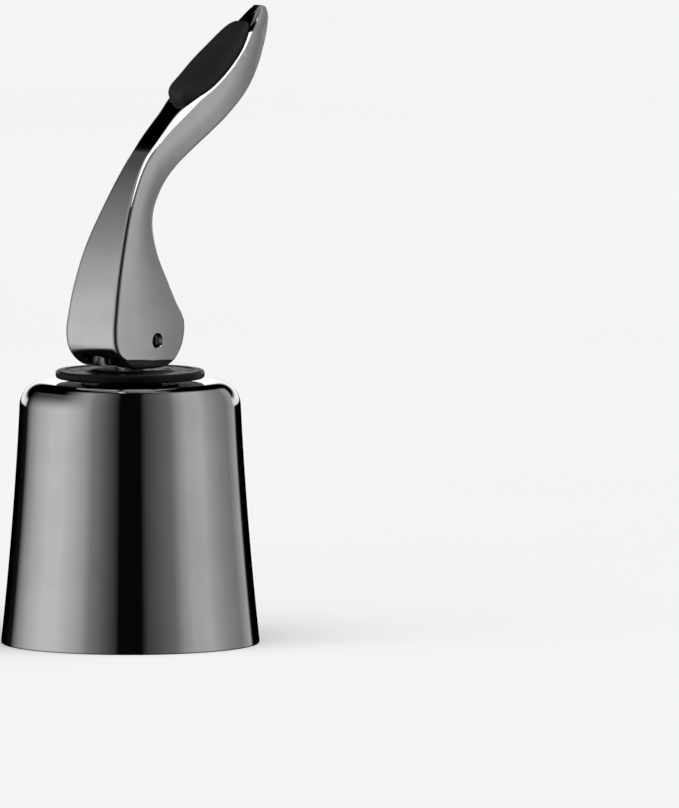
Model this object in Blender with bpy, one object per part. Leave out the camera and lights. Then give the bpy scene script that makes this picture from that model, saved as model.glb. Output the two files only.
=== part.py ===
"""Lever-action bottle stopper with a bell cap, modelled open, with its lever up.

The origin is the centre of the end nut's flat face, level with the bell's rim. +Z runs up the
stem, the lever folds towards +X and its pin lies along Y. All lengths are in metres.
"""

import math

import bmesh
import bpy
from mathutils import Vector

# General
GAP = 0.0003
STEM_BORE_RADIUS = 0.0025

# Bell cap: its outer radius falls from the rim with the height z as taper * z - curve * z * z.
BELL_HEIGHT = 0.0405
BELL_RIM_RADIUS = 0.0200
BELL_TAPER = 0.109
BELL_CURVE = 0.80
BELL_WALL = 0.0011
BELL_ROOF = 0.0012
BELL_SHOULDER = 0.0038
BELL_BORE_RADIUS = 0.0052

# Cam plate, which the lever bears on
PLATE_RADIUS = 0.0115
PLATE_BOTTOM = 0.0410
PLATE_TOP = 0.04225
PLATE_BOSS_RADIUS = 0.0060
PLATE_BOSS_TOP = 0.0425
PLATE_SPIGOT_RADIUS = 0.0049
PLATE_SPIGOT_BOTTOM = 0.0362

# Hub under the bell's roof, with the gasket that closes on the bottle's lip
HUB_TOP = BELL_HEIGHT - BELL_ROOF - GAP
HUB_FLANGE_RADIUS = 0.0130
HUB_FLANGE_BOTTOM = 0.0376
HUB_BODY_RADIUS = 0.0060
HUB_BOTTOM = 0.0326
HUB_STEP = 0.0340
GASKET_RADIUS = 0.0140
GASKET_THICKNESS = 0.0020
RING_MAJOR = 0.00335
RING_MINOR = 0.00075

# Plug: nut, washers, cup, two seals and the spacer between them, from the bottom up
NUT_FLATS = 0.0080
NUT_HEIGHT = 0.0034
NUT_FLOOR = 0.0010
SPRING_WASHER_RADIUS = 0.0040
SPRING_WASHER_THICKNESS = 0.0010
SPRING_WASHER_SLIT = 0.0006
FLAT_WASHER_RADIUS = 0.0060
FLAT_WASHER_THICKNESS = 0.0008
CUP_RADIUS = 0.0087
CUP_FLOOR = 0.0014
CUP_LIP = 0.0026
SEAL_RADIUS = 0.0089
SEAL_NECK_RADIUS = 0.0076
SEAL_HEIGHT = 0.01095
SPACER_RADIUS = 0.0082
SPACER_HEIGHT = 0.0020

# Eye bolt and pivot pin
PIN_HEIGHT = 0.04705
PIN_RADIUS = 0.0009
PIN_HOLE_RADIUS = 0.00108
PIN_RECESS = 0.0005
EYE_RADIUS = 0.0036
EYE_THICKNESS = 0.0046
EYE_HOLE_RADIUS = 0.0011
SHANK_RADIUS = 0.0022
THREAD_RADIUS = 0.0020
THREAD_TOP = 0.0150

# Lever. Its back is a cam whose height under the pin is CAM_BASE + CAM_RISE * fold angle.
FOLD_LIMIT = math.radians(100)
CAM_BASE = 0.0043
CAM_RISE = 0.00175
LEVER_EDGE = 0.0005
SLOT_WIDTH = 0.0050
SLOT_EYE_RADIUS = 0.0043
SLOT_SHANK_HALF = 0.0027
SLOT_MOUTH = 0.0019
# Where the back follows the cam, at equal steps of fold angle: the front edge's x and z, the
# half width, and the width and rise of the chamfer along the front edge
CAM_STATIONS = [
    (-0.0034, 0.04275, 0.00500, 0.0004, 0.0),
    (-0.0056, 0.0433, 0.00530, 0.0004, 0.0),
    (-0.0075, 0.0446, 0.00542, 0.0004, 0.0),
    (-0.0086, 0.0464, 0.00545, 0.0004, 0.0001),
    (-0.0088, 0.0488, 0.00545, 0.0004, 0.0002),
]
# The same from the cam up to the tip, with the back's x and z given after the front's
ARM_STATIONS = [
    (-0.00835, 0.0520, 0.0053, 0.0529, 0.00530, 0.0004, 0.0002),
    (-0.0075, 0.0559, 0.0038, 0.0561, 0.00500, 0.0004, 0.0002),
    (-0.0057, 0.0615, 0.00195, 0.0608, 0.00436, 0.0004, 0.0002),
    (-0.0028, 0.0677, 0.00215, 0.0658, 0.00324, 0.0004, 0.0002),
    (0.00075, 0.0733, 0.0050, 0.07015, 0.00244, 0.0004, 0.0003),
    (0.00395, 0.0768, 0.0083, 0.0733, 0.00234, 0.0005, 0.0003),
    (0.0084, 0.0808, 0.0125, 0.0764, 0.00288, 0.0007, 0.0003),
    (0.0117, 0.0831, 0.0156, 0.0786, 0.00336, 0.0007, 0.0003),
    (0.0151, 0.0852, 0.0186, 0.08095, 0.00385, 0.0004, 0.0003),
    (0.0184, 0.0878, 0.0221, 0.0841, 0.00410, 0.00035, 0.0003),
    (0.0215, 0.0904, 0.0250, 0.0875, 0.00375, 0.00035, 0.0003),
    (0.0242, 0.0930, 0.0275, 0.0911, 0.00290, 0.00045, 0.0003),
    (0.0262, 0.0946, 0.0290, 0.0932, 0.00205, 0.0007, 0.0003),
    (0.0279, 0.0963, 0.0300, 0.0957, 0.00130, 0.0007, 0.0002),
    (0.0288, 0.0972, 0.0299, 0.0970, 0.00075, 0.0004, 0.0001),
]

# Thumb pad. It starts and ends at these places along the stations, counted from 0.
PAD_START = 11.75
PAD_END = 16.85
PAD_LIP = 0.0005
PAD_POCKET = 0.0008
PAD_PROUD_START = 0.0028
PAD_PROUD_END = 0.0013


def clear_scene():
    for obj in list(bpy.data.objects):
        bpy.data.objects.remove(obj, do_unlink=True)


def make_material(name, colour, roughness, metallic):
    material = bpy.data.materials.new(name)
    material.use_nodes = True
    shader = material.node_tree.nodes["Principled BSDF"]
    shader.inputs["Base Color"].default_value = (*colour, 1.0)
    shader.inputs["Roughness"].default_value = roughness
    shader.inputs["Metallic"].default_value = metallic
    return material


def make_pivot(name, location):
    pivot = bpy.data.objects.new(name, None)
    pivot.location = location
    bpy.context.scene.collection.objects.link(pivot)
    return pivot


def add_object(name, bm, material=None, pivot=None):
    """Turn a bmesh in world coordinates into an object, with its origin at its pivot."""
    bmesh.ops.recalc_face_normals(bm, faces=bm.faces)
    if pivot:
        bmesh.ops.translate(bm, verts=bm.verts, vec=-pivot.location)
    mesh = bpy.data.meshes.new(name)
    bm.to_mesh(mesh)
    bm.free()
    mesh.shade_smooth()
    mesh.set_sharp_from_angle(angle=math.radians(35))
    obj = bpy.data.objects.new(name, mesh)
    obj.parent = pivot
    if material:
        mesh.materials.append(material)
    bpy.context.scene.collection.objects.link(obj)
    return obj


def combine(obj, operation, other_name, bm, pivot=None):
    """Cut a helper shape from the object, or join it on, with a Boolean modifier."""
    other = add_object(other_name, bm, pivot=pivot)
    other.hide_render = True
    other.display_type = "WIRE"
    boolean = obj.modifiers.new(other_name, "BOOLEAN")
    boolean.operation = operation
    boolean.solver = "EXACT"
    boolean.object = other


def rounded_loop(corners, steps=3):
    """Points of a closed outline whose corners (x, z, radius) are rounded by arcs."""
    points = []
    for index, (x, z, radius) in enumerate(corners):
        here = Vector((x, z))
        if radius == 0:
            points.append(here)
            continue
        before = (Vector(corners[index - 1][:2]) - here).normalized()
        after = (Vector(corners[(index + 1) % len(corners)][:2]) - here).normalized()
        half = before.angle(after) / 2
        centre = here + (before + after).normalized() * radius / math.sin(half)
        first = here + before * radius / math.tan(half) - centre
        last = here + after * radius / math.tan(half) - centre
        turn = first.angle_signed(last)
        for step in range(steps + 1):
            swing = -turn * step / steps
            cosine, sine = math.cos(swing), math.sin(swing)
            arm = Vector((first.x * cosine - first.y * sine, first.x * sine + first.y * cosine))
            points.append(centre + arm)
    return points


def turned(corners, segments, steps=3):
    """A body of revolution about Z, from its closed outline of (radius, z, corner radius)."""
    bm = bmesh.new()
    verts = [bm.verts.new((point.x, 0, point.y)) for point in rounded_loop(corners, steps)]
    edges = [bm.edges.new((verts[i - 1], verts[i])) for i in range(len(verts))]
    bmesh.ops.spin(
        bm,
        geom=verts + edges,
        axis=(0, 0, 1),
        cent=(0, 0, 0),
        angle=math.tau,
        steps=segments,
        use_merge=True,
    )
    bmesh.ops.remove_doubles(bm, verts=bm.verts, dist=1e-7)
    return bm


def extruded(outline, width):
    """A prism across Y from an outline of (x, z) points, centred on y = 0."""
    bm = bmesh.new()
    face = bm.faces.new([bm.verts.new((x, -width / 2, z)) for x, z in outline])
    moved = bmesh.ops.extrude_face_region(bm, geom=[face])["geom"]
    moved_verts = [item for item in moved if isinstance(item, bmesh.types.BMVert)]
    bmesh.ops.translate(bm, verts=moved_verts, vec=(0, width, 0))
    return bm


def cross_cylinder(radius, width, height, segments):
    """A cylinder along Y whose axis crosses the stem's axis at this height."""
    outline = []
    for step in range(segments):
        angle = math.tau * (step + 0.5) / segments
        outline.append((radius * math.cos(angle), height + radius * math.sin(angle)))
    return extruded(outline, width)


def upright_cylinder(radius, bottom, top, segments, bevel=0.0):
    bm = bmesh.new()
    bmesh.ops.create_cone(
        bm, cap_ends=True, segments=segments, radius1=radius, radius2=radius, depth=top - bottom
    )
    bmesh.ops.translate(bm, verts=bm.verts, vec=(0, 0, (top + bottom) / 2))
    if bevel:
        rims = [edge for edge in bm.edges if abs(edge.verts[0].co.z - edge.verts[1].co.z) < bevel]
        bmesh.ops.bevel(bm, geom=rims, offset=bevel, segments=1, affect="EDGES")
    return bm


def lofted(rings):
    """A closed skin through rings with the same number of points, capped at both ends."""
    bm = bmesh.new()
    loops = [[bm.verts.new(point) for point in ring] for ring in rings]
    count = len(loops[0])
    for lower, upper in zip(loops, loops[1:]):
        for i in range(count):
            bm.faces.new((lower[i - 1], lower[i], upper[i], upper[i - 1]))
    bm.faces.new(loops[0])
    bm.faces.new(loops[-1])
    return bm


def bell_radius(z):
    return BELL_RIM_RADIUS - BELL_TAPER * z + BELL_CURVE * z * z


def make_bell(material):
    roof = BELL_HEIGHT - BELL_ROOF
    inner_shoulder = BELL_SHOULDER - BELL_WALL
    levels = [0.008, 0.017, 0.026, 0.034]
    outer = [(bell_radius(z), z, 0) for z in levels]
    inner = [(bell_radius(z) - BELL_WALL, z, 0) for z in reversed(levels)]
    corners = [
        (bell_radius(0), 0, 0.0003),
        *outer,
        (bell_radius(BELL_HEIGHT), BELL_HEIGHT, BELL_SHOULDER),
        (BELL_BORE_RADIUS, BELL_HEIGHT, 0),
        (BELL_BORE_RADIUS, roof, 0),
        (bell_radius(roof) - BELL_WALL, roof, inner_shoulder),
        *inner,
        (bell_radius(0) - BELL_WALL, 0, 0.0002),
    ]
    add_object("bell_cap", turned(corners, 48), material)


def make_cam_plate(material):
    """A washer with a shallow boss on top, a seat and a spigot that goes into the hub."""
    seat_radius = PLATE_BOSS_RADIUS + 0.0015
    corners = [
        (STEM_BORE_RADIUS, PLATE_BOSS_TOP, 0.0002),
        (STEM_BORE_RADIUS, PLATE_SPIGOT_BOTTOM, 0),
        (PLATE_SPIGOT_RADIUS, PLATE_SPIGOT_BOTTOM, 0.0003),
        (PLATE_SPIGOT_RADIUS, BELL_HEIGHT + GAP, 0),
        (seat_radius, BELL_HEIGHT + GAP, 0),
        (seat_radius + 0.0002, PLATE_BOTTOM, 0),
        (PLATE_RADIUS, PLATE_BOTTOM, 0.0004),
        (PLATE_RADIUS, PLATE_TOP, 0.0004),
        (PLATE_BOSS_RADIUS + 0.0014, PLATE_TOP, 0),
        (PLATE_BOSS_RADIUS, PLATE_BOSS_TOP, 0),
    ]
    add_object("cam_plate", turned(corners, 40, steps=2), material)


def make_hub(hub_material, seal_material):
    """The hub, the ring that seals the stem inside it, and the gasket around it."""
    hub_bore = PLATE_SPIGOT_RADIUS + GAP
    hub = [
        (STEM_BORE_RADIUS, HUB_STEP, 0),
        (STEM_BORE_RADIUS, HUB_BOTTOM, 0),
        (HUB_BODY_RADIUS, HUB_BOTTOM, 0.0005),
        (HUB_BODY_RADIUS, HUB_FLANGE_BOTTOM, 0),
        (HUB_FLANGE_RADIUS, HUB_FLANGE_BOTTOM, 0.0003),
        (HUB_FLANGE_RADIUS, HUB_TOP, 0.0003),
        (hub_bore, HUB_TOP, 0),
        (hub_bore, HUB_STEP, 0),
    ]
    add_object("top_hub", turned(hub, 32, steps=1), hub_material)
    gasket_top = HUB_FLANGE_BOTTOM - GAP
    gasket_bottom = gasket_top - GASKET_THICKNESS
    gasket = [
        (HUB_BODY_RADIUS + GAP, gasket_top, 0),
        (HUB_BODY_RADIUS + GAP, gasket_bottom, 0),
        (GASKET_RADIUS, gasket_bottom, 0.0005),
        (GASKET_RADIUS, gasket_top, 0.0005),
    ]
    add_object("lip_gasket", turned(gasket, 40, steps=1), seal_material)
    ring_height = HUB_STEP + GAP + RING_MINOR
    ring = []
    for step in range(6):
        angle = math.tau * step / 6
        radius = RING_MAJOR + RING_MINOR * math.cos(angle)
        ring.append((radius, ring_height + RING_MINOR * math.sin(angle), 0))
    add_object("stem_o_ring", turned(ring, 20), seal_material)


def make_seal(name, bottom, material):
    """An elastomer sleeve with a narrower neck at its lower end and three soft ribs."""
    top = bottom + SEAL_HEIGHT
    rib_pitch = (SEAL_HEIGHT - 0.0016) / 3
    corners = [
        (STEM_BORE_RADIUS, top, 0),
        (STEM_BORE_RADIUS, bottom, 0),
        (SEAL_NECK_RADIUS, bottom, 0),
        (SEAL_NECK_RADIUS, bottom + 0.0012, 0),
    ]
    for rib in range(3):
        start = bottom + 0.0012 + rib * rib_pitch
        corners.append((SEAL_RADIUS, start + 0.3 * rib_pitch, 0))
        corners.append((SEAL_RADIUS, start + 0.7 * rib_pitch, 0))
        corners.append((SEAL_NECK_RADIUS + 0.0004, start + rib_pitch, 0))
    corners.append((SEAL_NECK_RADIUS, top, 0))
    add_object(name, turned(corners, 32), material)


def make_plug(steel, plastic, rubber, stem, spacer):
    """The nut, washers, cup, seals and spacer on the lower stem."""
    make_nut(steel, stem)
    spring_bottom = NUT_HEIGHT + GAP
    make_spring_washer(steel, spring_bottom, stem)
    flat_bottom = spring_bottom + SPRING_WASHER_THICKNESS + GAP
    flat_top = flat_bottom + FLAT_WASHER_THICKNESS
    flat = [
        (STEM_BORE_RADIUS, flat_top, 0),
        (STEM_BORE_RADIUS, flat_bottom, 0),
        (FLAT_WASHER_RADIUS, flat_bottom, 0.0001),
        (FLAT_WASHER_RADIUS, flat_top, 0.0002),
    ]
    add_object("flat_washer", turned(flat, 24, steps=1), steel, stem)
    cup_bottom = flat_top + GAP
    dish = cup_bottom + CUP_FLOOR
    cup = [
        (STEM_BORE_RADIUS, dish, 0),
        (STEM_BORE_RADIUS, cup_bottom, 0),
        (CUP_RADIUS, cup_bottom, 0.0008),
        (CUP_RADIUS, cup_bottom + CUP_LIP, 0),
        (SEAL_NECK_RADIUS + GAP, cup_bottom + CUP_LIP, 0.0002),
        (SEAL_NECK_RADIUS + GAP, dish, 0),
    ]
    add_object("compression_cup", turned(cup, 32, steps=2), steel, stem)
    lower_bottom = dish + GAP
    make_seal("lower_seal", lower_bottom, rubber)
    spacer_bottom = lower_bottom + SEAL_HEIGHT + GAP
    spacer_top = spacer_bottom + SPACER_HEIGHT
    ring = [
        (STEM_BORE_RADIUS, spacer_top, 0),
        (STEM_BORE_RADIUS, spacer_bottom, 0),
        (SPACER_RADIUS, spacer_bottom, 0.0003),
        (SPACER_RADIUS, spacer_top, 0.0003),
    ]
    add_object("seal_spacer", turned(ring, 32, steps=1), plastic, spacer)
    make_seal("upper_seal", spacer_top + GAP, rubber)


def make_nut(material, stem):
    """A closed hexagon nut, its flat end face down."""
    nut_radius = NUT_FLATS / 2 / math.cos(math.radians(30))
    hexagon = upright_cylinder(nut_radius, 0, NUT_HEIGHT, 6, bevel=0.0004)
    nut = add_object("end_nut", hexagon, material, stem)
    bore = upright_cylinder(THREAD_RADIUS + GAP, NUT_FLOOR, NUT_HEIGHT + 0.001, 24)
    combine(nut, "DIFFERENCE", "nut_bore", bore, stem)


def make_spring_washer(material, bottom, stem):
    """A split ring: the slit leaves it one body."""
    top = bottom + SPRING_WASHER_THICKNESS
    ring = [
        (STEM_BORE_RADIUS, top, 0),
        (STEM_BORE_RADIUS, bottom, 0),
        (SPRING_WASHER_RADIUS, bottom, 0),
        (SPRING_WASHER_RADIUS, top, 0),
    ]
    washer = add_object("spring_washer", turned(ring, 24), material, stem)
    slit = bmesh.new()
    bmesh.ops.create_cube(slit, size=1)
    bmesh.ops.scale(slit, verts=slit.verts, vec=(0.004, SPRING_WASHER_SLIT, 0.003))
    bmesh.ops.translate(slit, verts=slit.verts, vec=(-0.0035, 0, (top + bottom) / 2))
    combine(washer, "DIFFERENCE", "washer_slit", slit, stem)


def make_eye_bolt(material, stem):
    """The stem: a round eye for the pin above a shank that is thinner where it is threaded."""
    bolt_bottom = NUT_FLOOR + GAP
    shank = [
        (THREAD_RADIUS - 0.0004, bolt_bottom),
        (THREAD_RADIUS, bolt_bottom + 0.0004),
        (THREAD_RADIUS, THREAD_TOP),
        (SHANK_RADIUS, THREAD_TOP + 0.0002),
        (SHANK_RADIUS, PIN_HEIGHT),
    ]
    segments = 24
    rings = []
    for radius, z in shank:
        turns = [math.tau * step / segments for step in range(segments)]
        rings.append([(radius * math.cos(turn), radius * math.sin(turn), z) for turn in turns])
    bolt = add_object("eye_bolt", lofted(rings), material, stem)
    eye = cross_cylinder(EYE_RADIUS, EYE_THICKNESS, PIN_HEIGHT, 32)
    rims = [edge for edge in eye.edges if abs(edge.verts[0].co.y - edge.verts[1].co.y) < GAP]
    bmesh.ops.bevel(eye, geom=rims, offset=0.0004, segments=1, affect="EDGES")
    combine(bolt, "UNION", "bolt_eye", eye, stem)
    hole = cross_cylinder(EYE_HOLE_RADIUS, 2 * EYE_THICKNESS, PIN_HEIGHT, 20)
    combine(bolt, "DIFFERENCE", "bolt_eye_hole", hole, stem)


def cam_point(angle):
    """The point of the cam that bears on the plate when the lever has folded by this angle."""
    support = CAM_BASE + CAM_RISE * angle
    x = support * math.sin(angle) + CAM_RISE * math.cos(angle)
    z = PIN_HEIGHT - support * math.cos(angle) + CAM_RISE * math.sin(angle)
    return x, z


def lever_stations():
    """Rows of front x and z, back x and z, half width, and chamfer, from the foot to the tip."""
    rows = []
    for index, (front_x, front_z, *sizes) in enumerate(CAM_STATIONS):
        back = cam_point(FOLD_LIMIT * index / (len(CAM_STATIONS) - 1))
        rows.append(Vector((front_x, front_z, *back, *sizes)))
    rows += [Vector(row) for row in ARM_STATIONS]
    return rows


def station_at(rows, place):
    """The row at a fractional place, on a smooth curve through all of the rows."""
    index = min(int(place), len(rows) - 2)
    part = place - index
    before = rows[max(index - 1, 0)]
    here, there = rows[index], rows[index + 1]
    after = rows[min(index + 2, len(rows) - 1)]
    return 0.5 * (
        2 * here
        + part * (there - before)
        + part**2 * (2 * before - 5 * here + 4 * there - after)
        + part**3 * (3 * here - before - 3 * there + after)
    )


def front_at(rows, place):
    """The front edge's point, the front's outward normal and the row at a fractional place."""
    row = station_at(rows, place)
    step = 0.01
    ahead, behind = station_at(rows, place + step), station_at(rows, place - step)
    along = Vector((ahead[0] - behind[0], 0, ahead[1] - behind[1])).normalized()
    return Vector((row[0], 0, row[1])), Vector((-along.z, 0, along.x)), row


def slot_outline():
    """The slot's side outline: round behind the eye, open below, and open at the back."""
    mouth_x = -math.sqrt(SLOT_EYE_RADIUS**2 - SLOT_MOUTH**2)
    start = math.atan2(-SLOT_MOUTH, mouth_x) + math.tau
    folded = FOLD_LIMIT - math.pi / 2
    end = folded + math.pi / 2 - math.acos(SLOT_SHANK_HALF / SLOT_EYE_RADIUS)
    reach = 0.014
    outline = [(-reach, PIN_HEIGHT - reach), (-reach, PIN_HEIGHT - SLOT_MOUTH)]
    steps = 14
    for step in range(steps + 1):
        angle = start + (end - start) * step / steps
        x = SLOT_EYE_RADIUS * math.cos(angle)
        z = PIN_HEIGHT + SLOT_EYE_RADIUS * math.sin(angle)
        outline.append((x, z))
    far_x = reach * math.cos(folded) - SLOT_SHANK_HALF * math.sin(folded)
    far_z = PIN_HEIGHT + reach * math.sin(folded) + SLOT_SHANK_HALF * math.cos(folded)
    outline += [(far_x, far_z), (reach, PIN_HEIGHT - reach)]
    return outline


def make_lever(material, pivot):
    rows = lever_stations()
    per_span = 4
    rings = []
    for step in range((len(rows) - 1) * per_span + 1):
        edge, normal, row = front_at(rows, step / per_span)
        back = Vector((row[2], 0, row[3]))
        half, chamfer, rise = row[4:]
        face = edge + normal * rise
        beside = Vector((0, half, 0))
        inside = Vector((0, half - chamfer, 0))
        near_side = [back - beside, edge - beside, face - inside]
        far_side = [face + inside, edge + beside, back + beside]
        rings.append(near_side + far_side)
    lever = add_object("lever", lofted(rings), material, pivot)
    bevel = lever.modifiers.new("edges", "BEVEL")
    bevel.width = LEVER_EDGE
    bevel.segments = 2
    bevel.limit_method = "ANGLE"
    bevel.angle_limit = math.radians(60)
    combine(lever, "DIFFERENCE", "lever_slot", extruded(slot_outline(), SLOT_WIDTH), pivot)
    hole = cross_cylinder(PIN_HOLE_RADIUS, 0.02, PIN_HEIGHT, 20)
    combine(lever, "DIFFERENCE", "lever_pin_hole", hole, pivot)
    pocket_rings = pad_rings(rows, GAP, -PAD_POCKET, 0.006, 0.006, 1)
    combine(lever, "DIFFERENCE", "lever_pocket", lofted(pocket_rings), pivot)


def pad_rings(rows, grow, depth, proud_start, proud_end, crown):
    """Sections across a rounded pad on the lever's front; crown 1 is square, 0.5 is round."""
    rings = []
    count = 14
    across = 10
    for index in range(count + 1):
        share = 0.5 - 0.5 * math.cos(math.pi * (index + 0.4) / (count + 0.8))
        span = PAD_END - PAD_START
        point, normal, row = front_at(rows, PAD_START + share * span)
        side = abs(2 * share - 1)
        fullness = (1 - side**4) ** (1 / 4)
        half = (row[4] - PAD_LIP) * fullness + grow
        proud = proud_start + (proud_end - proud_start) * share
        if crown < 1:
            proud *= (1 - side**10) ** (1 / 3)
        ring = [point + normal * depth + Vector((0, half, 0))]
        for step in range(across + 1):
            angle = math.pi * step / across
            out = abs(math.cos(angle)) ** crown * math.copysign(1, math.cos(angle))
            up = abs(math.sin(angle)) ** crown if crown < 1 else 1
            ring.append(point + normal * proud * up + Vector((0, half * out, 0)))
        ring.append(point + normal * depth + Vector((0, -half, 0)))
        rings.append(ring)
    return rings


def make_thumb_pad(material, pivot):
    depth = GAP - PAD_POCKET
    rings = pad_rings(lever_stations(), 0, depth, PAD_PROUD_START, PAD_PROUD_END, 0.45)
    add_object("thumb_pad", lofted(rings), material, pivot)


def make_pivot_pin(material, pivot):
    half_lever = CAM_STATIONS[-1][2]
    pin = cross_cylinder(PIN_RADIUS, 2 * (half_lever - PIN_RECESS), PIN_HEIGHT, 20)
    add_object("pivot_pin", pin, material, pivot)


def main():
    clear_scene()
    gunmetal = make_material("gunmetal_chrome", (0.36, 0.36, 0.37), 0.08, 1.0)
    steel = make_material("bright_steel", (0.62, 0.62, 0.62), 0.2, 1.0)
    nylon = make_material("black_nylon", (0.012, 0.012, 0.013), 0.4, 0.0)
    soft = make_material("soft_rubber", (0.02, 0.02, 0.02), 0.75, 0.0)
    silicone = make_material("black_silicone", (0.02, 0.02, 0.022), 0.6, 0.0)
    stem = make_pivot("stem_slide", (0, 0, 0))
    spacer = make_pivot("spacer_slide", (0, 0, 0))
    fold = make_pivot("lever_fold_axis", (0, 0, PIN_HEIGHT))
    make_bell(gunmetal)
    make_cam_plate(nylon)
    make_hub(nylon, silicone)
    make_plug(steel, nylon, silicone, stem, spacer)
    make_eye_bolt(steel, stem)
    make_lever(gunmetal, fold)
    make_thumb_pad(soft, fold)
    make_pivot_pin(steel, fold)


main()
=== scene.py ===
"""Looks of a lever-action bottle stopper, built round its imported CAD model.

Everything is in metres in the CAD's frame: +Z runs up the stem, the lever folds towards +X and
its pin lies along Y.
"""

import math

import bmesh
import bpy
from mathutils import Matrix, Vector


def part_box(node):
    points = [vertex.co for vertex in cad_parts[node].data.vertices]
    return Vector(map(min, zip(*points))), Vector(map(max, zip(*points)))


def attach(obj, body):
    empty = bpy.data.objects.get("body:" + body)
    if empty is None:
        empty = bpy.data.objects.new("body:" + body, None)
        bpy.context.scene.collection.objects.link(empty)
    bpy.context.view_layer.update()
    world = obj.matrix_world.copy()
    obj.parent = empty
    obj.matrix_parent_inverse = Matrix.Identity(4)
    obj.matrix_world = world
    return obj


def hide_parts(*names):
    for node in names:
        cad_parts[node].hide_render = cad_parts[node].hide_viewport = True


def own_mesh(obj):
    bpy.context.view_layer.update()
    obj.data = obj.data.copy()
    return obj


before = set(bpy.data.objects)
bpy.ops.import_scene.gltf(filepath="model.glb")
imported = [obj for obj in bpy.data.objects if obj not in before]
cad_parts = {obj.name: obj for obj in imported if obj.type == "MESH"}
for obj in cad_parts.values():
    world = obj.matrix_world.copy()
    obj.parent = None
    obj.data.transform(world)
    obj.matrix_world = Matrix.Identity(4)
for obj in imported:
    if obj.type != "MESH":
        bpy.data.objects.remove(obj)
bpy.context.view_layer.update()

# Clearance round pieces that fit into each other, the bore of every piece that the stem runs
# through, and how much a turned edge is rounded
GAP = 0.0003
STEM_BORE_RADIUS = 0.0025
CRISP = 0.0001
EDGE = 0.0002
SOFT = 0.0003

# Bell cap: its outer radius falls from the rim with the height z as taper * z - curve * z * z.
BELL_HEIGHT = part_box("bell_cap")[1].z
BELL_RIM_RADIUS = 0.0200
BELL_TAPER = 0.109
BELL_CURVE = 0.80
BELL_WALL = 0.0011
BELL_ROOF = 0.0012
BELL_SHOULDER = 0.0038
BELL_BORE_RADIUS = 0.0052
BELL_LEVELS = 22
BELL_LEVEL_STEP = 0.0015

# The other pieces turned about the stem, whose ends mostly come from the frame
PLATE_LOW, PLATE_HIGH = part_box("cam_plate")
PLATE_BOTTOM = BELL_HEIGHT + 0.0005
PLATE_TOP = PLATE_HIGH.z - 0.00025
PLATE_BOSS_RADIUS = 0.0060
PLATE_SPIGOT_RADIUS = 0.0049
PLATE_SEAT_RADIUS = 0.0075
PLATE_LIP = 0.0013
HUB_LOW, HUB_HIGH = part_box("top_hub")
HUB_FLANGE_BOTTOM = 0.0376
HUB_BODY_RADIUS = 0.0060
HUB_STEP = 0.0340
GASKET_LOW, GASKET_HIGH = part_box("lip_gasket")
GASKET_GROOVE_RADIUS = 0.0112
GASKET_GROOVE_FLOOR = 0.0010
GASKET_GROOVE_MOUTH = 0.0014
RING_LOW, RING_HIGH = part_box("stem_o_ring")
NUT_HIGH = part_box("end_nut")[1]
NUT_FLATS = 0.0080
NUT_CHAMFER_SLOPE = 0.6
SPRING_LOW, SPRING_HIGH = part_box("spring_washer")
SPRING_SLIT = 0.0006
SPRING_SLIT_SLANT = 0.3
FLAT_LOW, FLAT_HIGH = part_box("flat_washer")
CUP_LOW, CUP_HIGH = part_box("compression_cup")
CUP_FLOOR = 0.0014
SPACER_LOW, SPACER_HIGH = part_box("seal_spacer")
SEAL_NECK_RADIUS = 0.0076
SEAL_NECK_HEIGHT = 0.0012
SEAL_RIBS = 3
SEAL_TOP_BAND = 0.0004
SEAL_VALLEY = 0.0004
SEAL_RIB_ROUNDING = 0.0006

# Eye bolt and pivot pin
PIN_LOW, PIN_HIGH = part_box("pivot_pin")
PIN_HEIGHT = (PIN_LOW.z + PIN_HIGH.z) / 2
PIN_RADIUS = 0.0009
PIN_HOLE_RADIUS = 0.00108
PIN_SUNK = 0.0006
BOLT_LOW, BOLT_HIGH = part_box("eye_bolt")
EYE_RADIUS = 0.0036
EYE_HOLE_RADIUS = 0.0011
SHANK_RADIUS = 0.0022
THREAD_RADIUS = 0.0020
THREAD_TOP = 0.0150
THREAD_CHAMFER = 0.0004
EYE_ROUNDING = 0.0004
PIN_ROUNDING = 0.00025
HOLE_FLARE = 0.0002

# Lever. Its back is a cam whose height under the pin is CAM_BASE + CAM_RISE * fold angle.
FOLD_LIMIT = math.radians(100)
CAM_BASE = 0.0043
CAM_RISE = 0.00175
SLOT_WIDTH = 0.0050
SLOT_EYE_RADIUS = 0.0043
SLOT_SHANK_HALF = 0.0027
SLOT_MOUTH = 0.0019
# Where the back follows the cam, at equal steps of fold angle: the front edge's x and z, the
# half width, the chamfer's width, and how far the face stands out between the two chamfers
CAM_STATIONS = [
    (-0.0034, 0.04275, 0.00500, 0.0004, 0.0),
    (-0.0056, 0.0433, 0.00530, 0.0004, 0.0),
    (-0.0075, 0.0446, 0.00542, 0.0004, 0.0),
    (-0.0086, 0.0464, 0.00545, 0.0004, 0.0001),
    (-0.0088, 0.0488, 0.00545, 0.0004, 0.0002),
]
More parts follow.
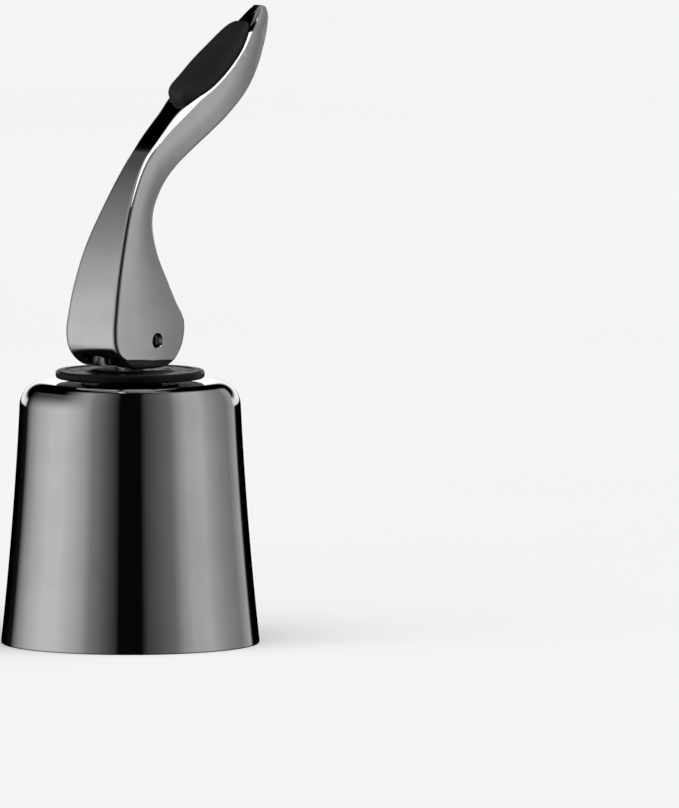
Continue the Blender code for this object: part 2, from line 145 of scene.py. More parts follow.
# The same from the cam up to the tip, with the back's x and z given after the front's
ARM_STATIONS = [
    (-0.00835, 0.0520, 0.0053, 0.0529, 0.00530, 0.0004, 0.0002),
    (-0.0075, 0.0559, 0.0038, 0.0561, 0.00500, 0.0004, 0.0002),
    (-0.0057, 0.0615, 0.00195, 0.0608, 0.00436, 0.0004, 0.0002),
    (-0.0028, 0.0677, 0.00215, 0.0658, 0.00324, 0.0004, 0.0002),
    (0.00075, 0.0733, 0.0050, 0.07015, 0.00244, 0.0004, 0.0003),
    (0.00395, 0.0768, 0.0083, 0.0733, 0.00234, 0.0005, 0.0003),
    (0.0084, 0.0808, 0.0125, 0.0764, 0.00288, 0.0007, 0.0003),
    (0.0117, 0.0831, 0.0156, 0.0786, 0.00336, 0.0007, 0.0003),
    (0.0151, 0.0852, 0.0186, 0.08095, 0.00385, 0.0004, 0.0003),
    (0.0184, 0.0878, 0.0221, 0.0841, 0.00410, 0.00035, 0.0003),
    (0.0215, 0.0904, 0.0250, 0.0875, 0.00375, 0.00035, 0.0003),
    (0.0242, 0.0930, 0.0275, 0.0911, 0.00290, 0.00045, 0.0003),
    (0.0262, 0.0946, 0.0290, 0.0932, 0.00205, 0.0007, 0.0003),
    (0.0279, 0.0963, 0.0300, 0.0957, 0.00130, 0.0007, 0.0002),
    (0.0288, 0.0972, 0.0299, 0.0970, 0.00075, 0.0004, 0.0001),
]
# Places along the lever are counted in stations from 0 at the foot. Its back edges and front
# ridges are rounded by this much, and between these places the ridges turn into flat chamfers.
# How far the sides bulge at the foot and on the arm, and how much narrower the foot is at its
# back, are shares of the depth there; the foot turns into the arm between the taper's places.
BACK_ROUNDING = 0.0010
RIDGE_ROUNDING = 0.0010
CHAMFER_PLACES = (8.6, 10.4)
SIDE_BULGE = 0.034
ARM_BULGE = 0.052
FOOT_TAPER = 0.008
TAPER_PLACES = (6.0, 9.0)
FOOT_ROUNDING = 0.0008
# The chamfer widens just below the pad: the place, how far either way, and by how much
SWELL_PLACE = 11.2
SWELL_REACH = 1.2
SWELL_GROWTH = 0.0006

# Thumb pad: the places where it starts and ends, the metal left beside it, its pocket's depth,
# and how far it stands out at its two ends
PAD_START = 11.75
PAD_END = 16.85
PAD_LIP = 0.0005
PAD_POCKET = 0.0008
PAD_PROUD_START = 0.0028
PAD_PROUD_END = 0.0013

# Camera: where it stands, how far the picture's centre is to the right of and above the point
# on the floor under the stem, and the height that the picture takes in at the stem
VIEW_AZIMUTH = math.radians(-47)
VIEW_ELEVATION = math.radians(5)
VIEW_DISTANCE = 3.0
VIEW_RIGHT = 0.0323
VIEW_UP = 0.0368
VIEW_HEIGHT = 0.1248
SENSOR = 36.0


# ---- Node helpers and materials ----

# Features per metre of the finishes' slow drift, scuffs and broken edge wear
DRIFT_SCALE = 140
SCUFF_SCALE = 900
WEAR_SCALE = 1600


def add_node(tree, kind, inputs=None, **settings):
    """A new node with these settings. An input is a value, or another node's output."""
    node = tree.nodes.new(kind)
    for name, value in settings.items():
        setattr(node, name, value)
    for name, value in (inputs or {}).items():
        if isinstance(value, bpy.types.NodeSocket):
            tree.links.new(value, node.inputs[name])
        else:
            node.inputs[name].default_value = value
    return node


def ranged(tree, value, start, end, low=0.0, high=1.0):
    """The value's smooth step from low at start to high at end."""
    inputs = {"Value": value, "From Min": start, "From Max": end, "To Min": low, "To Max": high}
    step = add_node(tree, "ShaderNodeMapRange", inputs, interpolation_type="SMOOTHSTEP")
    return step.outputs[0]


def maths(tree, operation, *values):
    inputs = dict(enumerate(values))
    return add_node(tree, "ShaderNodeMath", inputs, operation=operation).outputs[0]


def mixed_colour(tree, factor, first, second):
    """The first colour where the factor is 0 and the second where it is 1."""
    mix = add_node(tree, "ShaderNodeMix", {0: factor}, data_type="RGBA")
    for index, colour in ((6, first), (7, second)):
        if isinstance(colour, bpy.types.NodeSocket):
            tree.links.new(colour, mix.inputs[index])
        else:
            mix.inputs[index].default_value = (*colour, 1.0)
    return mix.outputs[2]


def noise_over(tree, scale, detail=3.0, stretch=(1.0, 1.0, 1.0)):
    """Noise in the object's own coordinates: scale is its features per metre."""
    place = add_node(tree, "ShaderNodeTexCoord").outputs["Object"]
    mapping = add_node(tree, "ShaderNodeMapping", {"Vector": place, "Scale": stretch})
    inputs = {"Vector": mapping.outputs[0], "Scale": scale, "Detail": detail}
    return add_node(tree, "ShaderNodeTexNoise", inputs).outputs["Fac"]


def make_finish(name, colours, roughness, metallic, grain, wear, stretch=(1, 1, 1), **sockets):
    """A finish whose tone and roughness drift, with a fine grain and lightly worn edges.

    colours are its darkest, lightest and worn tones, roughness its lowest, highest and worn
    values, grain its (features per metre, depth), and wear how strongly the edges are worn.
    """
    material = bpy.data.materials.new(name)
    material.use_nodes = True
    tree = material.node_tree
    shader = tree.nodes["Principled BSDF"]
    shader.inputs["Metallic"].default_value = metallic
    for socket, value in sockets.items():
        shader.inputs[socket.replace("_", " ")].default_value = value
    drift = ranged(tree, noise_over(tree, DRIFT_SCALE), 0.3, 0.7)
    tone = mixed_colour(tree, drift, colours[0], colours[1])
    scuffs = ranged(tree, noise_over(tree, SCUFF_SCALE, 4.0, stretch), 0.42, 0.72)
    pointed = add_node(tree, "ShaderNodeNewGeometry").outputs["Pointiness"]
    edges = ranged(tree, pointed, 0.52, 0.62)
    broken = ranged(tree, noise_over(tree, WEAR_SCALE, 4.0), 0.4, 0.6, 0.3, 1.0)
    worn = maths(tree, "MULTIPLY", maths(tree, "MULTIPLY", edges, broken), wear)
    colour = mixed_colour(tree, worn, tone, colours[2])
    tree.links.new(colour, shader.inputs["Base Color"])
    base = ranged(tree, scuffs, 0.0, 1.0, roughness[0], roughness[1])
    rough = add_node(tree, "ShaderNodeMix", {0: worn, 2: base, 3: roughness[2]})
    tree.links.new(rough.outputs[0], shader.inputs["Roughness"])
    height = noise_over(tree, grain[0], 5.0, stretch)
    bump = add_node(tree, "ShaderNodeBump", {"Height": height, "Distance": grain[1]})
    tree.links.new(bump.outputs[0], shader.inputs["Normal"])
    return material


def make_finishes():
    """The record's five finishes, by slot."""
    return {
        "gunmetal_chrome": make_finish(
            "gunmetal_chrome",
            colours=((0.455, 0.455, 0.462), (0.49, 0.49, 0.495), (0.56, 0.56, 0.56)),
            roughness=(0.030, 0.055, 0.12),
            metallic=1.0,
            grain=(500, 1.5e-7),
            wear=0.25,
            stretch=(1, 1, 0.25),
        ),
        "bright_steel": make_finish(
            "bright_steel",
            colours=((0.56, 0.56, 0.565), (0.66, 0.66, 0.655), (0.74, 0.74, 0.74)),
            roughness=(0.16, 0.30, 0.35),
            metallic=1.0,
            grain=(1500, 2.0e-6),
            wear=0.4,
            stretch=(0.25, 0.25, 3),
            Anisotropic=0.4,
        ),
        "black_nylon": make_finish(
            "black_nylon",
            colours=((0.0030, 0.0030, 0.0033), (0.0055, 0.0055, 0.006), (0.022, 0.022, 0.023)),
            roughness=(0.30, 0.42, 0.50),
            metallic=0.0,
            grain=(2600, 8.0e-6),
            wear=0.5,
            Specular_IOR_Level=0.1,
        ),
        "soft_rubber": make_finish(
            "soft_rubber",
            colours=((0.009, 0.009, 0.0093), (0.014, 0.014, 0.0143), (0.026, 0.026, 0.026)),
            roughness=(0.55, 0.72, 0.62),
            metallic=0.0,
            grain=(3800, 1.6e-5),
            wear=0.4,
            Specular_IOR_Level=0.3,
        ),
        "black_silicone": make_finish(
            "black_silicone",
            colours=((0.010, 0.010, 0.0105), (0.018, 0.018, 0.019), (0.04, 0.04, 0.04)),
            roughness=(0.42, 0.60, 0.66),
            metallic=0.0,
            grain=(2200, 1.0e-5),
            wear=0.4,
        ),
    }


# ---- Mesh helpers ----


def rounded_loop(corners, steps):
    """Points of a closed outline whose corners (x, z, radius) are rounded by arcs."""
    points = []
    for index, (x, z, radius) in enumerate(corners):
        here = Vector((x, z))
        if radius == 0:
            points.append(here)
            continue
        before = (Vector(corners[index - 1][:2]) - here).normalized()
        after = (Vector(corners[(index + 1) % len(corners)][:2]) - here).normalized()
        half = before.angle(after) / 2
        centre = here + (before + after).normalized() * radius / math.sin(half)
        first = here + before * radius / math.tan(half) - centre
        last = here + after * radius / math.tan(half) - centre
        turn = first.angle_signed(last)
        for step in range(steps + 1):
            swing = -turn * step / steps
            cosine, sine = math.cos(swing), math.sin(swing)
            arm = Vector((first.x * cosine - first.y * sine, first.x * sine + first.y * cosine))
            points.append(centre + arm)
    return points


def spun(bm, verts, axis, centre, segments):
    """Spin a closed loop of verts a whole turn about an axis."""
    edges = [bm.edges.new((verts[i - 1], verts[i])) for i in range(len(verts))]
    bmesh.ops.spin(
        bm,
        geom=verts + edges,
        axis=axis,
        cent=centre,
        angle=math.tau,
        steps=segments,
        use_merge=True,
    )
    bmesh.ops.remove_doubles(bm, verts=bm.verts, dist=1e-7)
    return bm


def turned(corners, segments=160, steps=8):
    """A body of revolution about Z, from its closed outline of (radius, z, corner radius)."""
    bm = bmesh.new()
    verts = [bm.verts.new((point.x, 0, point.y)) for point in rounded_loop(corners, steps)]
    return spun(bm, verts, (0, 0, 1), (0, 0, 0), segments)


def ring_at(radius, z, count):
    """Evenly spaced points round the stem's axis, with none on the X axis."""
    turns = [math.tau * (step + 0.5) / count for step in range(count)]
    return [(radius * math.cos(turn), radius * math.sin(turn), z) for turn in turns]


def turned_across(half_outline, segments):
    """A body of revolution about the pin's axis, the same on both sides of y = 0.

    half_outline is the (radius, y) points of its +Y half, going outwards.
    """
    outline = [(radius, -y) for radius, y in reversed(half_outline)] + half_outline
    rings = []
    for radius, y in outline:
        ring = ring_at(radius, y, segments)
        rings.append([(x, across, PIN_HEIGHT + up) for x, up, across in ring])
    return lofted(rings)


def rounded_end(radius, half, edge):
    """The (radius, y) points of a quarter round from a cylinder's side to its +Y end."""
    points = []
    for step in range(5):
        turn = math.radians(90 * step / 4)
        points.append((radius - edge * (1 - math.cos(turn)), half - edge * (1 - math.sin(turn))))
    return points


def lofted(rings, cap_share=0.0):
    """A closed skin through rings with the same number of points, capped at both ends.

    cap_share is the bevel weight of the edges round both caps.
    """
    bm = bmesh.new()
    loops = [[bm.verts.new(point) for point in ring] for ring in rings]
    count = len(loops[0])
    for lower, upper in zip(loops, loops[1:]):
        for i in range(count):
            bm.faces.new((lower[i - 1], lower[i], upper[i], upper[i - 1]))
    bm.faces.new(loops[0])
    bm.faces.new(loops[-1])
    if cap_share:
        weight = bm.edges.layers.float.new("bevel_weight_edge")
        for loop in (loops[0], loops[-1]):
            for i in range(count):
                bm.edges.get((loop[i - 1], loop[i]))[weight] = cap_share
    return bm


def make_mesh(name, bm, sharp=32):
    """An object from a bmesh in the frame's coordinates, shaded smooth but for its edges."""
    bmesh.ops.recalc_face_normals(bm, faces=bm.faces)
    mesh = bpy.data.meshes.new(name)
    bm.to_mesh(mesh)
    bm.free()
    mesh.shade_smooth()
    mesh.set_sharp_from_angle(angle=math.radians(sharp))
    obj = bpy.data.objects.new(name, mesh)
    bpy.context.scene.collection.objects.link(obj)
    return obj


def soften(obj, width, segments):
    """Round the edges that have a bevel weight."""
    bevel = obj.modifiers.new("edges", "BEVEL")
    bevel.width = width
    bevel.segments = segments
    bevel.limit_method = "WEIGHT"


def add_boolean(obj, operation, name, bm):
    """Cut a helper shape from the object, or join it on. bake() removes the helper."""
    other = make_mesh(name, bm)
    boolean = obj.modifiers.new(name, "BOOLEAN")
    boolean.operation = operation
    boolean.solver = "EXACT"
    boolean.object = other


def bake(obj, sharp=32):
    """Apply the object's modifiers, remove the helper shapes, and shade it as make_mesh does."""
    others = [modifier.object for modifier in obj.modifiers if modifier.type == "BOOLEAN"]
    bpy.context.view_layer.update()
    graph = bpy.context.evaluated_depsgraph_get()
    mesh = bpy.data.meshes.new_from_object(obj.evaluated_get(graph))
    obj.modifiers.clear()
    for other in others:
        bpy.data.objects.remove(other, do_unlink=True)
    mesh.shade_smooth()
    mesh.set_sharp_from_angle(angle=math.radians(sharp))
    obj.data = mesh


def add_piece(obj, body, node, slot, finishes):
    """Finish a piece: it stands for the CAD node, takes its slot and rides on its body."""
    normals = obj.modifiers.new("normals", "WEIGHTED_NORMAL")
    normals.keep_sharp = True
    obj.data.materials.clear()
    obj.data.materials.append(finishes[slot])
    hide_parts(node)
    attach(obj, body)
    return obj


# ---- Pieces turned about the stem ----


def bell_radius(z):
    """The bell's outer radius at a height."""
    return BELL_RIM_RADIUS - BELL_TAPER * z + BELL_CURVE * z * z


def make_bell():
    """A thin spun bell with a rolled rim and a soft shoulder, open where the plate sits."""
    roof = BELL_HEIGHT - BELL_ROOF
    levels = [BELL_LEVEL_STEP * (step + 1) for step in range(BELL_LEVELS)]
    outer = [(bell_radius(z), z, 0) for z in levels]
    inner = [(bell_radius(z) - BELL_WALL, z, 0) for z in reversed(levels)]
    corners = [
        (bell_radius(0), 0, SOFT),
        *outer,
        (bell_radius(BELL_HEIGHT), BELL_HEIGHT, BELL_SHOULDER),
        (BELL_BORE_RADIUS, BELL_HEIGHT, EDGE),
        (BELL_BORE_RADIUS, roof, CRISP),
        (bell_radius(roof) - BELL_WALL, roof, BELL_SHOULDER - BELL_WALL),
        *inner,
        (bell_radius(0) - BELL_WALL, 0, EDGE),
    ]
    return make_mesh("bell", turned(corners, 256, 16))


def make_cam_plate():
    """A moulded washer with a shallow boss, a lip round its top, a seat and a spigot."""
    plate_radius = PLATE_HIGH.x
    seat = BELL_HEIGHT + GAP
    dish = PLATE_TOP - CRISP
    corners = [
        (STEM_BORE_RADIUS, PLATE_HIGH.z, EDGE),
        (STEM_BORE_RADIUS, PLATE_LOW.z, 0),
        (PLATE_SPIGOT_RADIUS, PLATE_LOW.z, SOFT),
        (PLATE_SPIGOT_RADIUS, seat, 0),
        (PLATE_SEAT_RADIUS, seat, 0),
        (PLATE_SEAT_RADIUS + EDGE, PLATE_BOTTOM, CRISP),
        (plate_radius, PLATE_BOTTOM, 0.0004),
        (plate_radius, PLATE_TOP, 0.0004),
        (plate_radius - PLATE_LIP, PLATE_TOP, CRISP),
        (plate_radius - PLATE_LIP - CRISP, dish, CRISP),
        (PLATE_SEAT_RADIUS - CRISP, dish, SOFT),
        (PLATE_BOSS_RADIUS, PLATE_HIGH.z, SOFT),
    ]
    return make_mesh("cam_disc", turned(corners, 192, 6))


def make_hub():
    """The plug's top: a flanged body that is pressed over the plate's spigot."""
    bore = PLATE_SPIGOT_RADIUS + GAP
    corners = [
        (STEM_BORE_RADIUS, HUB_STEP, EDGE),
        (STEM_BORE_RADIUS, HUB_LOW.z, EDGE),
        (HUB_BODY_RADIUS, HUB_LOW.z, 0.0005),
        (HUB_BODY_RADIUS, HUB_FLANGE_BOTTOM, 0),
        (HUB_HIGH.x, HUB_FLANGE_BOTTOM, SOFT),
        (HUB_HIGH.x, HUB_HIGH.z, SOFT),
        (bore, HUB_HIGH.z, CRISP),
        (bore, HUB_STEP, 0),
    ]
    return make_mesh("hub", turned(corners))


def make_gasket():
    """The ring that closes on the bottle's lip, with a groove where the lip beds in."""
    inner = HUB_BODY_RADIUS + GAP
    low = GASKET_LOW.z
    groove_top = low + SOFT
    corners = [
        (inner, GASKET_HIGH.z, CRISP),
        (inner, low, EDGE),
        (GASKET_GROOVE_RADIUS - GASKET_GROOVE_MOUTH, low, SOFT),
        (GASKET_GROOVE_RADIUS - GASKET_GROOVE_FLOOR, groove_top, EDGE),
        (GASKET_GROOVE_RADIUS + GASKET_GROOVE_FLOOR, groove_top, EDGE),
        (GASKET_GROOVE_RADIUS + GASKET_GROOVE_MOUTH, low, SOFT),
        (GASKET_HIGH.x, low, 0.0005),
        (GASKET_HIGH.x, GASKET_HIGH.z, 0.0005),
    ]
    return make_mesh("gasket", turned(corners))


def make_o_ring():
    """The ring that seals the stem in the hub."""
    minor = (RING_HIGH.z - RING_LOW.z) / 2
    major = RING_HIGH.x - minor
    height = (RING_HIGH.z + RING_LOW.z) / 2
    steps = 24
    circle = []
    for step in range(steps):
        turn = math.tau * step / steps
        circle.append((major + minor * math.cos(turn), height + minor * math.sin(turn), 0))
    return make_mesh("o_ring", turned(circle, 96))


def make_seal(name, node):
    """An elastomer sleeve with a narrower neck at its lower end and soft round ribs."""
    low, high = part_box(node)
    neck_top = low.z + SEAL_NECK_HEIGHT
    pitch = (high.z - neck_top - SEAL_TOP_BAND) / SEAL_RIBS
    corners = [
        (STEM_BORE_RADIUS, high.z, EDGE),
        (STEM_BORE_RADIUS, low.z, EDGE),
        (SEAL_NECK_RADIUS, low.z, SOFT),
        (SEAL_NECK_RADIUS, neck_top, 0),
    ]
    for rib in range(SEAL_RIBS):
        start = neck_top + rib * pitch
        corners.append((high.x, start + 0.25 * pitch, SEAL_RIB_ROUNDING))
        corners.append((high.x, start + 0.75 * pitch, SEAL_RIB_ROUNDING))
        corners.append((SEAL_NECK_RADIUS + SEAL_VALLEY, start + pitch, EDGE))
    corners.append((SEAL_NECK_RADIUS, high.z, CRISP))
    return make_mesh(name, turned(corners), sharp=50)


def make_spacer():
    """The hard ring between the seals, with a shallow groove round it."""
    middle = (SPACER_LOW.z + SPACER_HIGH.z) / 2
    radius = SPACER_HIGH.x
    groove_radius = radius - 0.0003
    mouth, floor = 0.0004, 0.0002
    corners = [
        (STEM_BORE_RADIUS, SPACER_HIGH.z, EDGE),
        (STEM_BORE_RADIUS, SPACER_LOW.z, EDGE),
        (radius, SPACER_LOW.z, SOFT),
        (radius, middle - mouth, CRISP),
        (groove_radius, middle - floor, CRISP),
        (groove_radius, middle + floor, CRISP),
        (radius, middle + mouth, CRISP),
        (radius, SPACER_HIGH.z, SOFT),
    ]
    return make_mesh("spacer_ring", turned(corners))


def make_cup():
    """The dish on the stem that pushes the lower seal up."""
    neck = SEAL_NECK_RADIUS + GAP
    dish = CUP_LOW.z + CUP_FLOOR
    corners = [
        (STEM_BORE_RADIUS, dish, EDGE),
        (STEM_BORE_RADIUS, CUP_LOW.z, EDGE),
        (CUP_HIGH.x, CUP_LOW.z, 0.0008),
        (CUP_HIGH.x, CUP_HIGH.z, SOFT),
        (neck, CUP_HIGH.z, EDGE),
        (neck, dish, EDGE),
    ]
    return make_mesh("cup", turned(corners))


def make_flat_washer():
    """A stamped washer, rounder on one edge."""
    corners = [
        (STEM_BORE_RADIUS, FLAT_HIGH.z, CRISP),
        (STEM_BORE_RADIUS, FLAT_LOW.z, CRISP),
        (FLAT_HIGH.x, FLAT_LOW.z, CRISP),
        (FLAT_HIGH.x, FLAT_HIGH.z, SOFT),
    ]
    return make_mesh("washer", turned(corners, 128, 4))


def make_spring_washer():
    """A split ring whose ends meet at a slant across the slit."""
    corners = [
        (STEM_BORE_RADIUS, SPRING_HIGH.z, CRISP),
        (STEM_BORE_RADIUS, SPRING_LOW.z, CRISP),
        (SPRING_HIGH.x, SPRING_LOW.z, CRISP),
        (SPRING_HIGH.x, SPRING_HIGH.z, CRISP),
    ]
    washer = make_mesh("split_washer", turned(corners, 96, 3))
    ring_middle = 0.0035
    middle = (SPRING_LOW.z + SPRING_HIGH.z) / 2
    slit = bmesh.new()
    bmesh.ops.create_cube(slit, size=1)
    bmesh.ops.scale(slit, verts=slit.verts, vec=(0.004, SPRING_SLIT, 0.003))
    for vert in slit.verts:
        vert.co += Vector((-ring_middle, SPRING_SLIT_SLANT * vert.co.z, middle))
    add_boolean(washer, "DIFFERENCE", "slit", slit)
    bake(washer)
    return washer


def make_nut():
    """A closed hexagon nut whose corners are turned down to a round chamfer at both ends."""
    corner_radius = NUT_FLATS / 2 / math.cos(math.radians(30))
    nut = make_mesh("cap_nut", lofted([ring_at(corner_radius, z, 6) for z in (0, NUT_HIGH.z)]))
    drop = (corner_radius - NUT_FLATS / 2) * NUT_CHAMFER_SLOPE
    face_radius = NUT_FLATS / 2 - CRISP
    cone = [
        (0, 0, 0),
        (face_radius, 0, 0),
        (corner_radius, drop, 0),
        (corner_radius, NUT_HIGH.z - drop, 0),
        (face_radius, NUT_HIGH.z, 0),
        (0, NUT_HIGH.z, 0),
    ]
    add_boolean(nut, "INTERSECT", "nut_cone", turned(cone, 96))
    bore_end = BOLT_LOW.z - GAP
    past_top = NUT_HIGH.z + 0.001
    bore = [
        (0, bore_end, 0),
        (THREAD_RADIUS + GAP, bore_end, 0),
        (THREAD_RADIUS + GAP, past_top, 0),
        (0, past_top, 0),
    ]
    add_boolean(nut, "DIFFERENCE", "nut_bore", turned(bore, 64))
    bake(nut)
    return nut


# ---- Eye bolt and pin ----


def make_eye_bolt():
    """The stem: a round eye for the pin above a shank that is thinner where it is threaded."""
    outline = [
        (THREAD_RADIUS - THREAD_CHAMFER, BOLT_LOW.z),
        (THREAD_RADIUS, BOLT_LOW.z + THREAD_CHAMFER),
        (THREAD_RADIUS, THREAD_TOP),
        (SHANK_RADIUS, THREAD_TOP + 0.0002),
        (SHANK_RADIUS, PIN_HEIGHT),
    ]
    bolt = make_mesh("stem", lofted([ring_at(radius, z, 64) for radius, z in outline]))
    half = BOLT_HIGH.y
    eye = rounded_end(EYE_RADIUS, half, EYE_ROUNDING)
    add_boolean(bolt, "UNION", "eye", turned_across(eye, 96))
    flared = EYE_HOLE_RADIUS + HOLE_FLARE
    hole = [(EYE_HOLE_RADIUS, half - HOLE_FLARE), (flared, half), (flared, half + 0.0005)]
    add_boolean(bolt, "DIFFERENCE", "eye_hole", turned_across(hole, 48))
    bake(bolt)
    return bolt


def make_pin():
    """The pivot pin, with rounded ends that are dimpled where it was staked."""
    half = PIN_HIGH.y - PIN_SUNK
    dimple = [(0.00040, half), (0.00030, half - 0.0001), (0.00012, half - 0.00016)]
    outline = rounded_end(PIN_RADIUS, half, PIN_ROUNDING) + dimple
    return make_mesh("pin", turned_across(outline, 64))


# ---- Lever and thumb pad ----


def cam_point(angle):
    """The point of the cam that bears on the plate when the lever has folded by this angle."""
    support = CAM_BASE + CAM_RISE * angle
    x = support * math.sin(angle) + CAM_RISE * math.cos(angle)
    z = PIN_HEIGHT - support * math.cos(angle) + CAM_RISE * math.sin(angle)
    return x, z


def lever_stations():
    """Rows of front x and z, back x and z, half width, and the chamfer's two sizes, going up."""
    rows = []
    for index, (front_x, front_z, *sizes) in enumerate(CAM_STATIONS):
        back = cam_point(FOLD_LIMIT * index / (len(CAM_STATIONS) - 1))
        rows.append(Vector((front_x, front_z, *back, *sizes)))
    rows += [Vector(row) for row in ARM_STATIONS]
    return rows


def station_at(rows, place):
    """The row at a place between stations, on a smooth curve through all of the rows."""
    index = min(int(place), len(rows) - 2)
    part = place - index
    before = rows[max(index - 1, 0)]
    here, there = rows[index], rows[index + 1]
    after = rows[min(index + 2, len(rows) - 1)]
    return 0.5 * (
        2 * here
        + part * (there - before)
        + part**2 * (2 * before - 5 * here + 4 * there - after)
        + part**3 * (3 * here - before - 3 * there + after)
    )


def front_at(rows, place):
    """The front edge's point, the front's outward normal and the row at a place."""
    row = station_at(rows, place)
    step = 0.01
    ahead, behind = station_at(rows, place + step), station_at(rows, place - step)
    along = Vector((ahead[0] - behind[0], 0, ahead[1] - behind[1])).normalized()
    return Vector((row[0], 0, row[1])), Vector((-along.z, 0, along.x)), row


def slot_outline():
    """The slot's side outline: round behind the eye, open below, and open at the back."""
    mouth_x = -math.sqrt(SLOT_EYE_RADIUS**2 - SLOT_MOUTH**2)
    start = math.atan2(-SLOT_MOUTH, mouth_x) + math.tau
    folded = FOLD_LIMIT - math.pi / 2
    end = folded + math.pi / 2 - math.acos(SLOT_SHANK_HALF / SLOT_EYE_RADIUS)
    reach = 0.014
    outline = [(-reach, PIN_HEIGHT - reach), (-reach, PIN_HEIGHT - SLOT_MOUTH)]
    steps = 40
    for step in range(steps + 1):
        angle = start + (end - start) * step / steps
        x = SLOT_EYE_RADIUS * math.cos(angle)
        outline.append((x, PIN_HEIGHT + SLOT_EYE_RADIUS * math.sin(angle)))
    far_x = reach * math.cos(folded) - SLOT_SHANK_HALF * math.sin(folded)
    far_z = PIN_HEIGHT + reach * math.sin(folded) + SLOT_SHANK_HALF * math.cos(folded)
    outline += [(far_x, far_z), (reach, PIN_HEIGHT - reach)]
    return outline


def extruded(outline, width):
    """A prism across Y from an outline of (x, z) points, centred on y = 0."""
    return lofted([[(x, y, z) for x, z in outline] for y in (-width / 2, width / 2)])


def eased(value, start, end):
    """A smooth step from 0 at start to 1 at end."""
    part = min(max((value - start) / (end - start), 0), 1)
    return part * part * (3 - 2 * part)


def corner_arc(first, corner, last, steps):
    """Points of a curve from first to last that is pulled towards the corner."""
    parts = [step / steps for step in range(steps + 1)]
    return [first.lerp(corner, part).lerp(corner.lerp(last, part), part) for part in parts]


def lever_section(rows, place):
    """The lever's outline at a place, with each corner at the back rounded.

    Each corner at the front is a rounded ridge or, higher up, a flat chamfer.
    """
    edge, normal, row = front_at(rows, place)
    half, chamfer, rise = row[4:]
    face = edge + normal * rise
    back = Vector((row[2], 0, row[3]))
    across = Vector((0, 1, 0))
    forward = (face - back).normalized()
    depth = (face - back).length
    swell = SWELL_GROWTH * (1 - eased(abs(place - SWELL_PLACE), 0, SWELL_REACH))
    flat = eased(place, *CHAMFER_PLACES)
    arm = eased(place, *TAPER_PLACES)
    # No rounding or chamfer takes more than a share of a section that is thin or narrow.
    deepest = 0.25 * depth
    rounding = min(BACK_ROUNDING, deepest, 0.4 * half)
    deep = min(RIDGE_ROUNDING + (rise + 0.5 * swell - RIDGE_ROUNDING) * flat, deepest)
    wide = min(RIDGE_ROUNDING + (chamfer + swell - RIDGE_ROUNDING) * flat, 0.45 * half)
    back_corner = back + across * (half - FOOT_TAPER * (1 - arm) * depth)
    low = back_corner + forward * rounding
    outline = corner_arc(back_corner - across * rounding, back_corner, low, 5)
    front_corner = face + across * half
    first = front_corner - forward * deep
    last = front_corner - across * wide
    bulge = (SIDE_BULGE + (ARM_BULGE - SIDE_BULGE) * arm) * depth
    for share in (0.25, 0.5, 0.75):
        outline.append(low.lerp(first, share) + across * bulge * (1 - (2 * share - 1) ** 2))
    pulled = ((first + last) / 2).lerp(front_corner, 1 - 0.9 * flat)
    outline += corner_arc(first, pulled, last, 6)
    near_side = [Vector((point.x, -point.y, point.z)) for point in outline]
    return near_side + outline[::-1]


def pin_hole():
    """The cutter for the pin's hole, flared a little at both mouths."""
    foot_depth = 0.0145
    side = CAM_STATIONS[-1][2] + SIDE_BULGE * foot_depth
    hole = [
        (PIN_HOLE_RADIUS, side - HOLE_FLARE),
        (PIN_HOLE_RADIUS + 4 * HOLE_FLARE, side + 3 * HOLE_FLARE),
    ]
    return turned_across(hole, 64)


def make_lever():
    """The bent lever: a cam foot slotted for the eye, a waisted arm and a pocket for the pad."""
    rows = lever_stations()
    spans = len(rows) - 1
    # The last sections but one at both ends stand back, to leave room for the ends' rounding.
    first, last = 0.45, spans - 0.5
    count = round((last - first) * 8)
    places = [first + (last - first) * step / count for step in range(count + 1)]
    rings = [lever_section(rows, place) for place in [0, *places, spans]]
    lever = make_mesh("lever_body", lofted(rings, 1.0))
    soften(lever, FOOT_ROUNDING, 4)
    add_boolean(lever, "DIFFERENCE", "slot", extruded(slot_outline(), SLOT_WIDTH))
    add_boolean(lever, "DIFFERENCE", "pin_hole", pin_hole())
    reach = 0.006
    pocket = pad_rings(rows, GAP, -PAD_POCKET, reach, reach, crown=1, count=24)
    add_boolean(lever, "DIFFERENCE", "pocket", lofted(pocket))
    bake(lever)
    return lever


def pad_rings(rows, grow, depth, proud_start, proud_end, crown, count):
    """Sections across a rounded pad on the lever's front; crown 1 is square, 0.5 is round.

    The sections are closer together towards the pad's ends, and the first and last stop just
    short of them, because the pad has no width there.
    """
    rings = []
    for index in range(count + 1):
        share = 0.5 - 0.5 * math.cos(math.pi * (index + 0.2) / (count + 0.4))
        point, normal, row = front_at(rows, PAD_START + share * (PAD_END - PAD_START))
        side = abs(2 * share - 1)
        fullness = (1 - side**4) ** (1 / 4)
        half = (row[4] - PAD_LIP) * fullness + grow
        proud = proud_start + (proud_end - proud_start) * share
        if crown < 1:
            proud *= (1 - side**10) ** (1 / 3)
        ring = [point + normal * depth + Vector((0, half, 0))]
        for step in range(count + 1):
            angle = math.pi * step / count
            out = abs(math.cos(angle)) ** crown * math.copysign(1, math.cos(angle))
            up = abs(math.sin(angle)) ** crown if crown < 1 else 1
            ring.append(point + normal * proud * up + Vector((0, half * out, 0)))
        ring.append(point + normal * depth + Vector((0, -half, 0)))
        rings.append(ring)
    return rings


def make_thumb_pad():
    """The soft cushion in the lever's pocket."""
    depth = GAP - PAD_POCKET
    prouds = (PAD_PROUD_START, PAD_PROUD_END)
    rings = pad_rings(lever_stations(), 0, depth, *prouds, crown=0.45, count=48)
    return make_mesh("thumb_cushion", lofted(rings), sharp=60)


# ---- Studio ----


